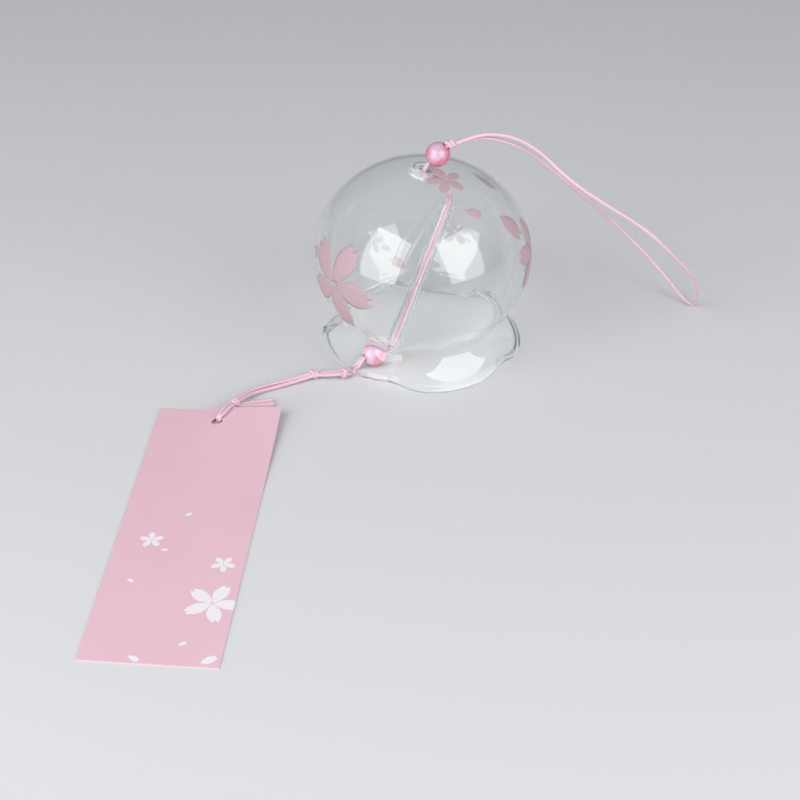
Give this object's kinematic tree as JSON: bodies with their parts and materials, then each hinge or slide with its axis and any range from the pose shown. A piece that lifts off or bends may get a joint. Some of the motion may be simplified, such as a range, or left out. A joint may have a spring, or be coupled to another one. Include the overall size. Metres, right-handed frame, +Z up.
{
  "type": "furin wind bell",
  "caption": "Blown-glass furin wind bell with a crimped rim, glass tube clapper, beads on a doubled cord, hanging loop and a paper wind strip.",
  "frame": {"origin": "on the table, on the bell's axis", "axes": "+Z up along the bell's axis, +Y away from the front, where the strip lies, +X to the hanging loop's side"},
  "size_m": [0.2134, 0.2293, 0.0859],
  "materials": {
    "clear_glass": "clear polished",
    "tube_glass": "clear polished",
    "clear_plastic": "clear satin",
    "bead_glass": "crackled translucent",
    "paper": "matte printed card",
    "cord": "braided satin"
  },
  "bodies": {
    "bell": {"glass_bell": "clear_glass", "stopper_disc": "clear_plastic", "stopper_knot": "cord", "top_knot": "cord", "top_cord": "cord", "rim_cord": "cord", "bead_knot": "cord", "knot_cord": "cord", "second_knot": "cord", "strip_cord_back": "cord", "strip_cord_front": "cord"},
    "loop": {"hanging_loop": "cord"},
    "crown_bead": {"top_bead": "bead_glass"},
    "clapper": {"upper_cord": "cord", "tube_cord": "cord", "bead_cord": "cord"},
    "tube": {"clapper_tube": "tube_glass"},
    "clapper_bead": {"lower_bead": "bead_glass"},
    "strip_tie": {"tie_knot": "cord", "cord_tail_back": "cord", "cord_tail_front": "cord"},
    "strip": {"paper_strip": "paper", "strip_loop": "cord"}
  },
  "joints": [
    {"name": "loop_lift", "type": "hinge", "parent": "bell", "child": "loop", "pos_m": [0.00992, 0.00073, 0.08299], "axis": [0, -1, 0], "range_deg": [0, 130]},
    {"name": "crown_bead_turn", "type": "hinge", "parent": "bell", "child": "crown_bead", "pos_m": [0.00539, 0.00038, 0.07821], "axis": [0.6863, 0.054, 0.7254], "continuous": true},
    {"name": "clapper_swing", "type": "hinge", "parent": "bell", "child": "clapper", "pos_m": [0.00144, 0, 0.06803], "axis": [0.6594, -0.7518, 0], "range_deg": [0, 32]},
    {"name": "tube_turn", "type": "hinge", "parent": "clapper", "child": "tube", "pos_m": [-0.0108, -0.01227, 0.00613], "axis": [-0.3644, -0.4047, -0.8387], "continuous": true},
    {"name": "clapper_bead_turn", "type": "hinge", "parent": "clapper", "child": "clapper_bead", "pos_m": [-0.01755, -0.01666, 0.00455], "axis": [-0.8501, -0.5225, -0.0659], "continuous": true},
    {"name": "strip_swivel", "type": "hinge", "parent": "bell", "child": "strip_tie", "pos_m": [-0.0676, -0.0456, 0.002], "axis": [0, 0, 1], "range_deg": [-30, 12]},
    {"name": "strip_lift", "type": "hinge", "parent": "strip_tie", "child": "strip", "pos_m": [-0.0676, -0.0456, 0.002], "axis": [-0.9959, 0.0906, 0], "range_deg": [0, 110]}
  ]
}
